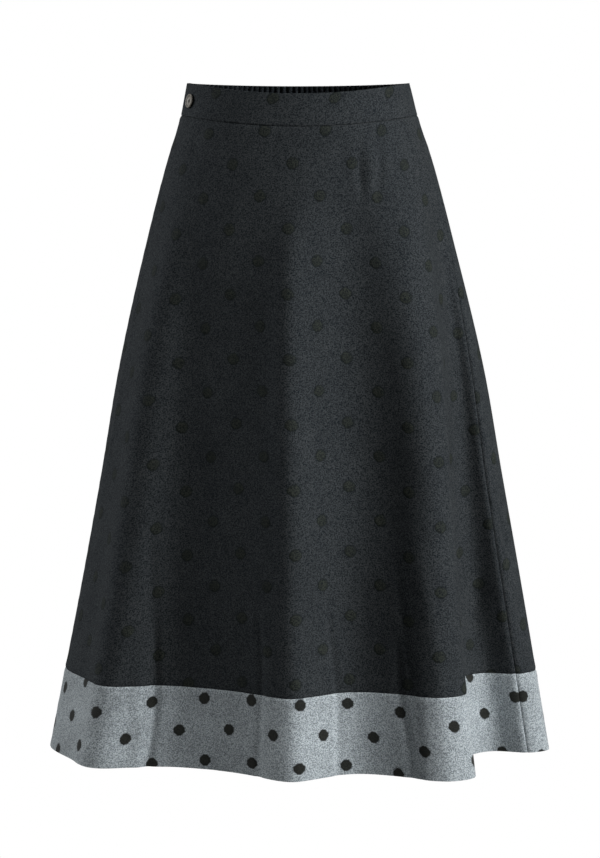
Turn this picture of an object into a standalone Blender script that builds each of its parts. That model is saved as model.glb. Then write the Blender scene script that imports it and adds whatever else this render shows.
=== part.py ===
"""A-line midi skirt in heavy denim, filled out as when worn, with nobody in it.

The waist opening's centre is the origin, the waist's side edges lie at height 0,
the front faces -Y and the wearer's left is +X. All sizes are in metres and all
bearings in degrees round the skirt, from the wearer's right side over the front.
"""
import math

import bmesh
import bpy
import numpy as np
from mathutils import Matrix, Vector

# Heights, measured down from the waist's side edges
BAND_DROP = 0.037
HEM_SEAM_DROP = 0.6845
HEM_DROP = 0.779

# Cloth
PANEL_WALL = 0.0015
HEM_WALL = 0.0020
BAND_WALL = 0.0025
SEAM_GAP = 0.0003

# How far the edges sink in the middle of the front and the back
FRONT_SINK_WAIST = 0.0127
FRONT_SINK_HEM = 0.0028
BACK_SINK_WAIST = 0.0023

# The skirt's sections before its folds:
# drop, half width right, half width left, half depth front, half depth back
SECTIONS = (
    (0.000, 0.1264, 0.1270, 0.091, 0.093),
    (0.037, 0.1335, 0.1366, 0.098, 0.102),
    (0.085, 0.1483, 0.1532, 0.107, 0.119),
    (0.195, 0.1766, 0.1840, 0.121, 0.140),
    (0.335, 0.2072, 0.2190, 0.133, 0.155),
    (0.450, 0.2267, 0.2400, 0.142, 0.166),
    (0.560, 0.2468, 0.2605, 0.150, 0.175),
    (0.779, 0.2905, 0.2995, 0.162, 0.192),
)

# The lines that the folds follow from the waistband to the hem:
# name, bearing at the waist, bearing at the hem, x and y at the hem,
# drop where it leaves the plain section, how early it swings round
FOLDS = (
    ("seam_right", 0.0, -9.0, -0.2925, 0.0270, 0.10, 1.0),
    ("side_right", 13.0, 6.0, -0.2870, -0.0040, 0.10, 1.0),
    ("flank_right", 28.3, 13.5, -0.2548, -0.0656, 0.10, 1.0),
    ("rise_1", 38.4, 34.0, -0.2266, -0.0960, 0.10, 1.0),
    ("crest_1", 45.5, 44.0, -0.1720, -0.0990, 0.10, 1.0),
    ("trough_1", 58.5, 57.5, -0.1440, -0.0955, 0.20, 1.0),
    ("slope_1", 71.9, 80.5, -0.0530, -0.1330, 0.10, 1.0),
    ("crest_2", 87.0, 88.2, -0.0082, -0.1620, 0.10, 1.0),
    ("slope_2", 95.5, 96.2, 0.0470, -0.1325, 0.10, 1.0),
    ("trough_2", 111.5, 104.8, 0.0780, -0.1265, 0.05, 1.0),
    ("slope_3", 122.4, 110.8, 0.1500, -0.1530, 0.10, 1.0),
    ("crest_3", 136.5, 117.5, 0.1780, -0.1575, 0.10, 1.3),
    ("ridge", 151.0, 130.0, 0.1985, -0.1440, 0.10, 1.9),
    ("return", 157.0, 134.0, 0.1900, -0.0880, 0.10, 2.1),
    ("pocket", 162.0, 139.0, 0.2020, -0.0320, 0.10, 2.4),
    ("wing", 169.0, 147.0, 0.2330, -0.0110, 0.10, 3.0),
    ("seam_left", 180.0, 153.0, 0.2690, -0.0190, 0.10, 4.5),
    ("tip", 193.0, 180.0, 0.2940, -0.0040, 0.10, 2.2),
    ("back_1", 206.0, 200.0, 0.2650, 0.0600, 0.20, 1.0),
    ("back_2", 225.0, 221.0, 0.2300, 0.1430, 0.20, 1.0),
    ("back_3", 243.0, 241.0, 0.1280, 0.1480, 0.20, 1.0),
    ("back_4", 262.0, 261.0, 0.0480, 0.2080, 0.20, 1.0),
    ("back_5", 280.0, 279.0, -0.0480, 0.1680, 0.20, 1.0),
    ("back_6", 298.0, 299.0, -0.1480, 0.1870, 0.20, 1.0),
    ("back_7", 318.0, 319.0, -0.2080, 0.1110, 0.20, 1.0),
    ("back_8", 340.0, 336.0, -0.2720, 0.0860, 0.20, 1.0),
)
LINES = [row[0] for row in FOLDS]
LEFT_SEAM = float(LINES.index("seam_left"))
RIGHT_SEAM = float(len(LINES))
FOLD_GROWTH = 1.1

# The gathers that the elastic draws into the back
GATHERS = 54
GATHER_DEPTH = 0.0016
GATHER_FADE = 0.105
GATHER_END = 0.020

# The back waistband's flat end, which runs inside the front one
UNDERLAP = 0.038
UNDERLAP_STEP = 0.009

# Button
BUTTON_Y = -0.033
BUTTON_DROP = 0.0195
BUTTON_RADIUS = 0.0082
BUTTON_THICK = 0.0024
BUTTON_HOLE_RADIUS = 0.0009
BUTTON_HOLE_SPREAD = 0.0016

# How finely the cloth is cut into faces
FRONT_STEPS = 4
GATHER_STEPS = 4
GATHERED_DROPS = (0.050, 0.068, 0.092)
PLAIN_DROPS = (0.120, 0.160, 0.210, 0.270, 0.340, 0.420, 0.500, 0.575, 0.640)

COLOURS = {
    "dark_denim": (0.022, 0.027, 0.036, 1.0),
    "denim_reverse": (0.230, 0.265, 0.330, 1.0),
    "button": (0.300, 0.260, 0.230, 1.0),
}


def table_column(table, index):
    return np.array([row[index] for row in table], float)


def eased(table, index, at):
    """A table's column at any drop, along a smooth curve through its rows."""
    drops = table_column(table, 0)
    values = table_column(table, index)
    slopes = np.gradient(values, drops)
    i = int(np.clip(np.searchsorted(drops, at) - 1, 0, len(drops) - 2))
    span = drops[i + 1] - drops[i]
    t = (at - drops[i]) / span
    start = (2 * t**3 - 3 * t**2 + 1) * values[i] + (t**3 - 2 * t**2 + t) * span * slopes[i]
    end = (3 * t**2 - 2 * t**3) * values[i + 1] + (t**3 - t**2) * span * slopes[i + 1]
    return start + end


def section_point(bearing, drop):
    """A point of the plain section, an egg of four quarter ellipses."""
    cosine = math.cos(math.radians(bearing))
    sine = math.sin(math.radians(bearing))
    width = eased(SECTIONS, 1 if cosine > 0 else 2, drop)
    depth = eased(SECTIONS, 3 if sine > 0 else 4, drop)
    return np.array([-width * cosine, -depth * sine])


def fold_points(drop):
    """Where each fold line crosses the ring at this drop."""
    down = min(max((drop - BAND_DROP) / (HEM_DROP - BAND_DROP), 0.0), 1.0)
    points = []
    for _, at_waist, at_hem, hem_x, hem_y, leaves, early in FOLDS:
        bearing = at_waist + (at_hem - at_waist) * (1 - (1 - down) ** early)
        grown = max((drop - leaves) / (HEM_DROP - leaves), 0.0) ** FOLD_GROWTH
        stand = np.array([hem_x, hem_y]) - section_point(at_hem, HEM_DROP)
        points.append(section_point(bearing, drop) + stand * grown)
    return np.array(points)


def closed_curve(points, places):
    """A smooth closed curve through the points, read at places counted in points."""
    count = len(points)
    after = np.roll(points, -1, axis=0)
    step = np.linalg.norm(after - points, axis=1) ** 0.75
    matrix = np.zeros((count, count))
    pull = np.zeros((count, 2))
    for i in range(count):
        matrix[i, i - 1] += step[i - 1]
        matrix[i, i] += 2 * (step[i - 1] + step[i])
        matrix[i, (i + 1) % count] += step[i]
        pull[i] = 6 * ((after[i] - points[i]) / step[i] - (points[i] - points[i - 1]) / step[i - 1])
    bend = np.linalg.solve(matrix, pull)
    places = np.asarray(places, float) % count
    i = np.floor(places).astype(int) % count
    j = (i + 1) % count
    h = step[i][:, None]
    t = (places - np.floor(places))[:, None] * h
    r = h - t
    cubic = (bend[i] * r**3 + bend[j] * t**3) / (6 * h)
    return cubic + (points[i] / h - bend[i] * h / 6) * r + (points[j] / h - bend[j] * h / 6) * t


def height(x, y, drop):
    """Height of the ring's point: the edges sink a little at the front and the back."""
    down = drop / HEM_DROP
    if y < 0:
        sink = FRONT_SINK_WAIST + (FRONT_SINK_HEM - FRONT_SINK_WAIST) * down
        return -drop - sink * min((y / eased(SECTIONS, 3, drop)) ** 2, 1.2)
    return -drop - BACK_SINK_WAIST * (1 - down) * (y / eased(SECTIONS, 4, drop)) ** 2


def ring(drop, places):
    """Points of the cloth's middle surface at this drop, with their outward directions."""
    knots = fold_points(drop)
    flat = closed_curve(knots, places)
    ahead = closed_curve(knots, np.asarray(places) + 0.01)
    behind = closed_curve(knots, np.asarray(places) - 0.01)
    along = ahead - behind
    along /= np.linalg.norm(along, axis=1)[:, None]
    out = np.stack([along[:, 1], -along[:, 0]], axis=1)
    heights = np.array([height(x, y, drop) for x, y in flat])
    return np.column_stack([flat, heights]), np.column_stack([out, np.zeros(len(flat))])


def waist_run(first, last, count):
    """Places from first to last that are evenly spaced along the waist."""
    fine = np.linspace(first, last, 1201)
    points, _ = ring(BAND_DROP, fine)
    steps = np.linalg.norm(np.diff(points, axis=0), axis=1)
    run = np.concatenate([[0.0], np.cumsum(steps)])
    return np.interp(np.linspace(0.0, run[-1], count + 1), run, fine), run[-1]


def gather_height(run, total, drop):
    """How far the gathered cloth stands out or in, at a run along the back waist."""
    ends = min(max(min(run, total - run) / GATHER_END, 0.0), 1.0)
    below = max(drop - BAND_DROP, 0.0) / GATHER_FADE
    fade = max(1.0 - below, 0.0) ** 1.6
    uneven = 0.82 + 0.18 * math.sin(run * 61.0 + 1.3) * math.cos(run * 143.0)
    phase = 2 * math.pi * GATHERS * run / total
    return GATHER_DEPTH * ends * fade * uneven * math.sin(phase)


def trim_ends(rows):
    """Draw the first and last column in by half a seam gap."""
    for row in rows:
        for end, inner in ((0, 1), (-1, -2)):
            inward = row[inner] - row[end]
            row[end] = row[end] + inward / np.linalg.norm(inward) * (SEAM_GAP / 2)
    return rows


def front_places():
    spans = int(LEFT_SEAM)
    return np.linspace(0.0, LEFT_SEAM, spans * FRONT_STEPS + 1)


def front_rows(drops):
    places = front_places()
    return trim_ends([ring(drop, places)[0] for drop in drops])


def back_rows(drops, coarse):
    """Rows of the back, gathered near the waist, every second column where coarse."""
    count = GATHERS * GATHER_STEPS
    places, total = waist_run(LEFT_SEAM, RIGHT_SEAM, count)
    runs = np.linspace(0.0, total, count + 1)
    step = 2 if coarse else 1
    rows = []
    for drop in drops:
        points, out = ring(drop, places)
        stand = np.array([gather_height(run, total, drop) for run in runs])
        rows.append((points + out * stand[:, None])[::step])
    return trim_ends(rows)


def join_rows(bm, upper, lower):
    """Faces between two rows of vertices, where the lower may have half the columns."""
    if len(upper) == len(lower):
        for i in range(len(upper) - 1):
            bm.faces.new((upper[i], upper[i + 1], lower[i + 1], lower[i]))
        return
    for i in range(len(lower) - 1):
        first, middle, last = upper[2 * i: 2 * i + 3]
        bm.faces.new((first, middle, lower[i]))
        bm.faces.new((middle, lower[i + 1], lower[i]))
        bm.faces.new((middle, last, lower[i + 1]))


def make_material(name, colour):
    material = bpy.data.materials.new(name)
    material.use_nodes = True
    shader = material.node_tree.nodes["Principled BSDF"]
    shader.inputs["Base Color"].default_value = COLOURS[colour]
    shader.inputs["Roughness"].default_value = 0.9 if colour != "button" else 0.45
    return material


def add_object(name, bm, colour):
    mesh = bpy.data.meshes.new(name)
    bm.to_mesh(mesh)
    bm.free()
    obj = bpy.data.objects.new(name, mesh)
    obj.data.materials.append(make_material(name, colour))
    collection.objects.link(obj)
    return obj


def add_cloth(name, rows, wall, colour):
    """A piece of cloth: an open surface through the rows, thickened both ways."""
    bm = bmesh.new()
    verts = [[bm.verts.new(point) for point in row] for row in rows]
    for upper, lower in zip(verts[:-1], verts[1:]):
        join_rows(bm, upper, lower)
    bmesh.ops.recalc_face_normals(bm, faces=bm.faces)
    obj = add_object(name, bm, colour)
    shell = obj.modifiers.new("Wall", "SOLIDIFY")
    shell.thickness = wall
    shell.offset = 0.0
    return obj


def add_panels():
    top = BAND_DROP + SEAM_GAP / 2
    bottom = HEM_SEAM_DROP - SEAM_GAP / 2
    upper = (top,) + GATHERED_DROPS
    lower = PLAIN_DROPS + (bottom,)
    add_cloth("front_panel", front_rows(upper + lower), PANEL_WALL, "dark_denim")
    gathered = back_rows(upper, False)
    plain = back_rows(lower, True)
    add_cloth("back_panel", gathered + plain, PANEL_WALL, "dark_denim")


def add_hem_bands():
    top = HEM_SEAM_DROP + SEAM_GAP / 2
    drops = (top, (top + HEM_DROP) / 2, HEM_DROP)
    add_cloth("hem_band_front", front_rows(drops), HEM_WALL, "denim_reverse")
    add_cloth("hem_band_back", back_rows(drops, True), HEM_WALL, "denim_reverse")


def underlap_rows(drops):
    """The back waistband's end: it steps in behind the front band and runs along it."""
    places, total = waist_run(0.0, 6.0, 240)
    runs = np.linspace(0.0, total, 241)
    reach = np.interp(UNDERLAP, runs, places)
    inner = front_places()
    stops = np.concatenate([inner[inner < reach - 0.05], [reach]])
    inward = BAND_WALL + SEAM_GAP
    return [ring(drop, stops)[0] - ring(drop, stops)[1] * inward for drop in drops]


def back_band_rows(drops):
    rows = back_rows(drops, False)
    count = len(rows[0])
    places, total = waist_run(LEFT_SEAM, RIGHT_SEAM, count - 1)
    runs = np.linspace(0.0, total, count)
    inward = BAND_WALL + SEAM_GAP
    for row, drop in zip(rows, drops):
        out = ring(drop, places)[1]
        for i, run in enumerate(runs):
            t = min(max(1.0 - (total - run) / UNDERLAP_STEP, 0.0), 1.0)
            row[i] = row[i] - out[i] * inward * t * t * (3 - 2 * t)
    ends = underlap_rows(drops)
    return [np.vstack([row[:-1], end]) for row, end in zip(rows, ends)]


def add_waistbands():
    bottom = BAND_DROP - SEAM_GAP / 2
    drops = (0.0, bottom / 2, bottom)
    add_cloth("waistband_front", front_rows(drops), BAND_WALL, "dark_denim")
    add_cloth("waistband_back", back_band_rows(drops), BAND_WALL, "dark_denim")


def button_frame():
    """The button's place on the front band and its outward direction."""
    places = np.linspace(0.0, 4.0, 801)
    points, out = ring(BUTTON_DROP, places)
    i = int(np.argmin(abs(points[:, 1] - BUTTON_Y)))
    above = ring(BUTTON_DROP - 0.008, places[i:i + 1])[0][0]
    below = ring(BUTTON_DROP + 0.008, places[i:i + 1])[0][0]
    down = Vector(below - above).normalized()
    side = Vector((-out[i][1], out[i][0], 0.0)).normalized()
    face = side.cross(down)
    if face.dot(Vector(out[i])) < 0:
        face = -face
    side = face.cross(down).normalized()
    foot = Vector(points[i]) + face * (BAND_WALL / 2 + SEAM_GAP)
    turn = Matrix((side, -down, face)).transposed().to_4x4()
    return Matrix.Translation(foot) @ turn


def add_button():
    """A dished disc with a raised rim and four holes."""
    r = BUTTON_RADIUS
    t = BUTTON_THICK
    profile = (
        (0.0, 0.0), (r * 0.72, 0.0), (r * 0.93, t * 0.22), (r, t * 0.50), (r * 0.97, t * 0.80),
        (r * 0.88, t), (r * 0.76, t * 0.96), (r * 0.66, t * 0.72), (r * 0.48, t * 0.62), (0.0, t * 0.60),
    )
    bm = bmesh.new()
    chain = [bm.verts.new((x, 0.0, z)) for x, z in profile]
    edges = [bm.edges.new(pair) for pair in zip(chain[:-1], chain[1:])]
    bmesh.ops.spin(bm, geom=chain + edges, cent=(0, 0, 0), axis=(0, 0, 1), angle=2 * math.pi, steps=32)
    bmesh.ops.remove_doubles(bm, verts=bm.verts, dist=0.00001)
    bmesh.ops.recalc_face_normals(bm, faces=bm.faces)
    button = add_object("button", bm, "button")
    holes = bmesh.new()
    for i in range(4):
        angle = math.radians(45 + 90 * i)
        place = Vector((math.cos(angle), math.sin(angle), 0.0)) * BUTTON_HOLE_SPREAD
        bmesh.ops.create_cone(
            holes, cap_ends=True, segments=12, radius1=BUTTON_HOLE_RADIUS,
            radius2=BUTTON_HOLE_RADIUS, depth=t * 3, matrix=Matrix.Translation(place),
        )
    cutter = add_object("button_holes", holes, "button")
    cut = button.modifiers.new("Holes", "BOOLEAN")
    cut.operation = "DIFFERENCE"
    cut.solver = "EXACT"
    cut.object = cutter
    bpy.context.view_layer.update()
    cut_mesh = bpy.data.meshes.new_from_object(button.evaluated_get(bpy.context.evaluated_depsgraph_get()))
    button.modifiers.clear()
    button.data = cut_mesh
    bpy.data.objects.remove(cutter)
    button.data.transform(button_frame())


for old in list(bpy.data.objects):
    bpy.data.objects.remove(old)
collection = bpy.data.collections.new("denim_skirt")
bpy.context.scene.collection.children.link(collection)
add_panels()
add_hem_bands()
add_waistbands()
add_button()
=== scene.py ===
"""Looks of the denim skirt: woven dotted cloth, seams, gathers, creases and the sewn-on button.

Everything is in metres in the frame of the solids: the waist's centre is the origin,
the front faces -Y and the wearer's left is +X.
"""

import math

import bmesh
import bpy
import numpy as np
from mathutils import Matrix, Vector


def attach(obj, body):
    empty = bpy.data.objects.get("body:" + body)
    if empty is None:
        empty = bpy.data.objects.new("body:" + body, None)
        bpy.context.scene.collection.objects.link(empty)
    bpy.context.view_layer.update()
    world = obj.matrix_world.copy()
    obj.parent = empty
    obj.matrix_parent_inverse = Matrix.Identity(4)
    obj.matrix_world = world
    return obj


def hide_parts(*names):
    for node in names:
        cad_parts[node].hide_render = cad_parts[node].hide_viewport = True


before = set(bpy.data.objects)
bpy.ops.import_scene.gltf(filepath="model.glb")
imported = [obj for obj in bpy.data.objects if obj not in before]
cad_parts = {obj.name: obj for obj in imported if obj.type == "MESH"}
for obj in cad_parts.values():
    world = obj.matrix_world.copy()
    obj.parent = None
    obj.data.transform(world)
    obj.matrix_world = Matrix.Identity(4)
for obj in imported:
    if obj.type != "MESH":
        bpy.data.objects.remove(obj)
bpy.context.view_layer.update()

# Sizes shared with the solids
BAND_DROP = 0.037
HEM_SEAM_DROP = 0.6845
HEM_DROP = 0.779
PANEL_WALL = 0.0015
HEM_WALL = 0.0020
BAND_WALL = 0.0025
SEAM_GAP = 0.0003
FRONT_SINK_WAIST = 0.0127
FRONT_SINK_HEM = 0.0028
BACK_SINK_WAIST = 0.0023
SINK_MOST = 1.2
# drop, half width at the wearer's right and left, half depth in front and behind
SECTIONS = (
    (0.000, 0.1264, 0.1270, 0.091, 0.093),
    (0.037, 0.1335, 0.1366, 0.098, 0.102),
    (0.085, 0.1483, 0.1532, 0.107, 0.119),
    (0.195, 0.1766, 0.1840, 0.121, 0.140),
    (0.335, 0.2072, 0.2190, 0.133, 0.155),
    (0.450, 0.2267, 0.2400, 0.142, 0.166),
    (0.560, 0.2468, 0.2605, 0.150, 0.175),
    (0.779, 0.2905, 0.2995, 0.162, 0.192),
)
# name, bearing at the waist, bearing at the hem, x and y at the hem,
# drop where it leaves the plain section, how early it swings round to its bearing at the hem
FOLDS = (
    ("seam_right", 0.0, -9.0, -0.2925, 0.0270, 0.10, 1.0),
    ("side_right", 13.0, 6.0, -0.2870, -0.0040, 0.10, 1.0),
    ("flank_right", 28.3, 13.5, -0.2548, -0.0656, 0.10, 1.0),
    ("rise_1", 38.4, 34.0, -0.2266, -0.0960, 0.10, 1.0),
    ("crest_1", 45.5, 44.0, -0.1720, -0.0990, 0.10, 1.0),
    ("trough_1", 58.5, 57.5, -0.1440, -0.0955, 0.20, 1.0),
    ("slope_1", 71.9, 80.5, -0.0530, -0.1330, 0.10, 1.0),
    ("crest_2", 87.0, 88.2, -0.0082, -0.1620, 0.10, 1.0),
    ("slope_2", 95.5, 96.2, 0.0470, -0.1325, 0.10, 1.0),
    ("trough_2", 111.5, 104.8, 0.0780, -0.1265, 0.05, 1.0),
    ("slope_3", 122.4, 110.8, 0.1500, -0.1530, 0.10, 1.0),
    ("crest_3", 136.5, 117.5, 0.1780, -0.1575, 0.10, 1.3),
    ("ridge", 151.0, 130.0, 0.1985, -0.1440, 0.10, 1.9),
    ("return", 157.0, 134.0, 0.1900, -0.0880, 0.10, 2.1),
    ("pocket", 162.0, 139.0, 0.2020, -0.0320, 0.10, 2.4),
    ("wing", 169.0, 147.0, 0.2330, -0.0110, 0.10, 3.0),
    ("seam_left", 180.0, 153.0, 0.2690, -0.0190, 0.10, 4.5),
    ("tip", 193.0, 180.0, 0.2940, -0.0040, 0.10, 2.2),
    ("back_1", 206.0, 200.0, 0.2650, 0.0600, 0.20, 1.0),
    ("back_2", 225.0, 221.0, 0.2300, 0.1430, 0.20, 1.0),
    ("back_3", 243.0, 241.0, 0.1280, 0.1480, 0.20, 1.0),
    ("back_4", 262.0, 261.0, 0.0480, 0.2080, 0.20, 1.0),
    ("back_5", 280.0, 279.0, -0.0480, 0.1680, 0.20, 1.0),
    ("back_6", 298.0, 299.0, -0.1480, 0.1870, 0.20, 1.0),
    ("back_7", 318.0, 319.0, -0.2080, 0.1110, 0.20, 1.0),
    ("back_8", 340.0, 336.0, -0.2720, 0.0860, 0.20, 1.0),
)
FOLD_NAMES = [row[0] for row in FOLDS]
LEFT_SEAM = float(FOLD_NAMES.index("seam_left"))
RIGHT_SEAM = float(len(FOLD_NAMES))
FOLD_GROWTH = 1.1
# The ring's curve is eased by its chords to this power, and its direction is read this far to both sides
CHORD_POWER = 0.75
DIRECTION_REACH = 0.01
GATHERS = 54
GATHER_DEPTH = 0.0016
GATHER_FADE = 0.105
GATHER_FADE_POWER = 1.6
GATHER_END = 0.020
# How uneven the gathers are in depth, and the slow waves that draw them together and apart:
# size in radians, rate in radians to the metre, start
GATHER_UNEVEN = 0.18
GATHER_UNEVEN_RATES = (61.0, 143.0)
GATHER_DRIFT = ((0.9, 74.0, 0.4), (0.5, 131.0, 2.0))
UNDERLAP = 0.038
UNDERLAP_STEP = 0.009
BUTTON_Y = -0.033
BUTTON_DROP = 0.0195
BUTTON_RADIUS = 0.0082
BUTTON_THICK = 0.0024
BUTTON_LEAN_REACH = 0.008
BUTTON_HOLE_RADIUS = 0.0009
BUTTON_HOLE_SPREAD = 0.0016
# The button's profile from the middle of its back round to the middle of its face:
# share of the radius, share of the thickness
BUTTON_PROFILE = (
    (0.0, 0.0), (0.72, 0.0), (0.86, 0.10), (0.95, 0.28), (1.0, 0.50), (0.985, 0.74),
    (0.94, 0.92), (0.88, 1.0), (0.81, 0.99), (0.745, 0.90), (0.70, 0.74), (0.66, 0.66),
    (0.60, 0.66), (0.48, 0.61), (0.25, 0.59), (0.0, 0.60),
)
BUTTON_STEPS = 72
BUTTON_GROOVE = 0.68
# The button's thread: its radius, how flat its stitches lie, the share of the button's thickness
# at which they start, and the radii of the shank under the button
STITCH_RADIUS = 0.00026
STITCH_FLATNESS = 0.45
STITCH_RISE = 0.42
SHANK_FOOT = 0.0013
SHANK_TOP = 0.0011
# The buttonhole: half its length and width, its stitches' number, half length, unevenness and height,
# and how far its middle lies behind the button's
BUTTONHOLE_HALF = 0.0088
BUTTONHOLE_WIDTH = 0.0014
BUTTONHOLE_STITCHES = 108
BUTTONHOLE_STITCH = 0.00085
BUTTONHOLE_UNEVEN = 0.12
BUTTONHOLE_RISE = 0.00008
BUTTONHOLE_SHIFT = -0.0016

# How the panels were cut: a sector's inner radius and its angle in radians
FRONT_CUT = (0.658, 0.561)
BACK_CUT = (1.060, 0.470)
# The cloth's length for each metre of drop
CLOTH_SLOPE = 1.012
# How the weave lies on the cuts: lean, bow and tilt of its threads, their dip and sway to the sides
PANEL_GRAIN = (0.0115, 0.0935, 0.0131, 0.0, 0.553)
HEM_GRAIN = (0.0175, 0.0670, -0.0427, -0.180, -0.044)
# Distance down the cut about which the threads lean and bow
GRAIN_MIDDLE = 0.35

# Seams round the skirt: drop, depth of the dip, its half width, how far the cloth swells beside it
ROUND_SEAMS = (
    (BAND_DROP, 0.00095, 0.0011, 0.00055),
    (HEM_SEAM_DROP, 0.00075, 0.0011, 0.00040),
)
SEAM_REACH = 0.03
SWELL_AWAY = 0.006
SWELL_WIDTH = 0.004
SEAM_PUCKER = 0.30
SEAM_PUCKER_RATES = (410.0, 37.0, 97.0)
SIDE_DIP = 0.0007
SIDE_DIP_WIDTH = 0.0013
SIDE_SWELL = 0.0004
SIDE_SWELL_AWAY = 0.005
SIDE_SWELL_WIDTH = 0.0035
SIDE_PUCKER = 0.4
SIDE_PUCKER_RATES = (330.0, 71.0)
# How the waistband is pulled in at its sewn edge and the front one at its ends, and its slight ripple
BAND_EDGE_DIP = 0.0005
BAND_EDGE_WIDTH = 0.0010
BAND_END_DIP = 0.0004
BAND_END_WIDTH = 0.0012
BAND_RIPPLE = 0.00022
BAND_RIPPLE_RATES = (75.0, 40.0)
# The cut of the elastic waistband's cloth, for each metre of it as worn
ELASTIC_EASE = 1.35
# How far the folded edges of the hem and the waistband are rounded
HEM_EDGE_ROUND = 0.0007
BAND_EDGE_ROUND = 0.0009

# A crease's line wanders to the sides by this share of the width, bends at this rate,
# and starts its bends elsewhere for each place across the cloth
CREASE_WANDER = 0.0035
CREASE_BENDS = 7.0
CREASE_STARTS = 40.0
# Creases of the front, each along a line from its upper to its lower end:
# upper drop, lower drop, share of the front's width at each, half width, how far it stands out,
# share of its length over which its ends fade
FRONT_CREASES = (
    (0.080, 0.779, 0.198, 0.160, 0.0290, 0.0078, 0.30),
    (0.130, 0.520, 0.316, 0.308, 0.0400, -0.0062, 0.40),
    (0.360, 0.779, 0.312, 0.238, 0.0380, -0.0072, 0.25),
    (0.130, 0.480, 0.404, 0.400, 0.0370, -0.0050, 0.45),
    (0.090, 0.600, 0.522, 0.490, 0.0200, 0.0060, 0.35),
    (0.045, 0.560, 0.700, 0.655, 0.0480, -0.0084, 0.24),
    (0.420, 0.779, 0.742, 0.697, 0.0210, 0.0046, 0.35),
    (0.080, 0.700, 0.835, 0.733, 0.0220, 0.0055, 0.35),
    (0.110, 0.779, 0.503, 0.480, 0.0110, 0.0016, 0.15),
    (0.044, 0.135, 0.694, 0.695, 0.0050, -0.0019, 0.45),
    (0.050, 0.128, 0.727, 0.723, 0.0060, 0.0015, 0.45),
    (0.046, 0.140, 0.759, 0.752, 0.0050, -0.0019, 0.45),
    (0.040, 0.110, 0.630, 0.641, 0.0080, -0.0006, 0.45),
    (0.040, 0.100, 0.862, 0.850, 0.0070, -0.0010, 0.45),
    (0.041, 0.090, 0.180, 0.186, 0.0060, -0.0007, 0.45),
    (0.041, 0.120, 0.330, 0.322, 0.0090, -0.0006, 0.45),
    (0.560, 0.779, 0.560, 0.557, 0.0050, -0.0016, 0.30),
    (0.560, 0.779, 0.430, 0.426, 0.0055, -0.0018, 0.30),
    (0.600, 0.779, 0.352, 0.340, 0.0060, -0.0007, 0.30),
    (0.600, 0.779, 0.668, 0.662, 0.0060, -0.0016, 0.30),
    (0.500, 0.779, 0.690, 0.679, 0.0050, -0.0007, 0.30),
    (0.480, 0.779, 0.735, 0.722, 0.0080, 0.0010, 0.30),
    (0.620, 0.779, 0.240, 0.252, 0.0060, -0.0006, 0.30),
    (0.640, 0.779, 0.140, 0.150, 0.0050, -0.0005, 0.30),
    (0.600, 0.779, 0.247, 0.252, 0.0060, -0.0026, 0.25),
    (0.640, 0.779, 0.224, 0.230, 0.0080, 0.0016, 0.25),
    (0.470, 0.690, 0.222, 0.245, 0.0070, -0.0016, 0.35),
    (0.300, 0.460, 0.075, 0.050, 0.0060, 0.0014, 0.40),
    (0.060, 0.320, 0.045, 0.068, 0.0050, 0.0012, 0.35),
    (0.545, 0.668, 0.966, 0.930, 0.0100, -0.0026, 0.40),
    (0.180, 0.420, 0.590, 0.575, 0.0160, 0.0008, 0.50),
    (0.240, 0.560, 0.330, 0.300, 0.0180, -0.0008, 0.50),
)
# The same for the back
BACK_CREASES = (
    (0.060, 0.230, 0.120, 0.135, 0.0070, -0.0014, 0.45),
    (0.050, 0.300, 0.205, 0.190, 0.0090, 0.0015, 0.45),
    (0.055, 0.210, 0.300, 0.310, 0.0060, -0.0013, 0.45),
    (0.060, 0.340, 0.385, 0.370, 0.0100, 0.0016, 0.45),
    (0.050, 0.250, 0.470, 0.480, 0.0070, -0.0014, 0.45),
    (0.060, 0.290, 0.560, 0.575, 0.0090, 0.0014, 0.45),
    (0.055, 0.220, 0.650, 0.640, 0.0060, -0.0013, 0.45),
    (0.050, 0.320, 0.735, 0.720, 0.0100, 0.0015, 0.45),
    (0.060, 0.240, 0.840, 0.850, 0.0070, -0.0013, 0.45),
    (0.560, 0.779, 0.155, 0.160, 0.0060, -0.0008, 0.30),
    (0.520, 0.779, 0.345, 0.335, 0.0080, -0.0009, 0.30),
    (0.600, 0.779, 0.505, 0.512, 0.0060, -0.0007, 0.30),
    (0.540, 0.779, 0.690, 0.700, 0.0070, -0.0008, 0.30),
    (0.620, 0.779, 0.880, 0.872, 0.0050, -0.0007, 0.30),
    (0.300, 0.400, 0.030, 0.012, 0.0070, -0.0016, 0.45),
    (0.485, 0.565, 0.008, 0.036, 0.0060, -0.0024, 0.40),
    (0.575, 0.660, 0.042, 0.014, 0.0080, -0.0018, 0.45),
)


def table_column(table, index):
    return np.array([row[index] for row in table], float)


def bell(away, half_width):
    """1 in the middle, falling off smoothly to both sides."""
    return np.exp(-(away / half_width) ** 2)


def soft_step(t):
    """From 0 to 1, level at both ends."""
    return t * t * (3 - 2 * t)


def section_value(index, at):
    """A column of the sections at any drop, along a smooth curve through its rows."""
    drops = table_column(SECTIONS, 0)
    values = table_column(SECTIONS, index)
    slopes = np.gradient(values, drops)
    i = int(np.clip(np.searchsorted(drops, at) - 1, 0, len(drops) - 2))
    span = drops[i + 1] - drops[i]
    t = (at - drops[i]) / span
    start = (2 * t**3 - 3 * t**2 + 1) * values[i] + (t**3 - 2 * t**2 + t) * span * slopes[i]
    end = (3 * t**2 - 2 * t**3) * values[i + 1] + (t**3 - t**2) * span * slopes[i + 1]
    return start + end


def section_point(bearing, halves):
    """A point of the plain section, an egg of four quarter ellipses."""
    cosine = math.cos(math.radians(bearing))
    sine = math.sin(math.radians(bearing))
    width = halves[0] if cosine > 0 else halves[1]
    depth = halves[2] if sine > 0 else halves[3]
    return np.array([-width * cosine, -depth * sine])


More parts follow.
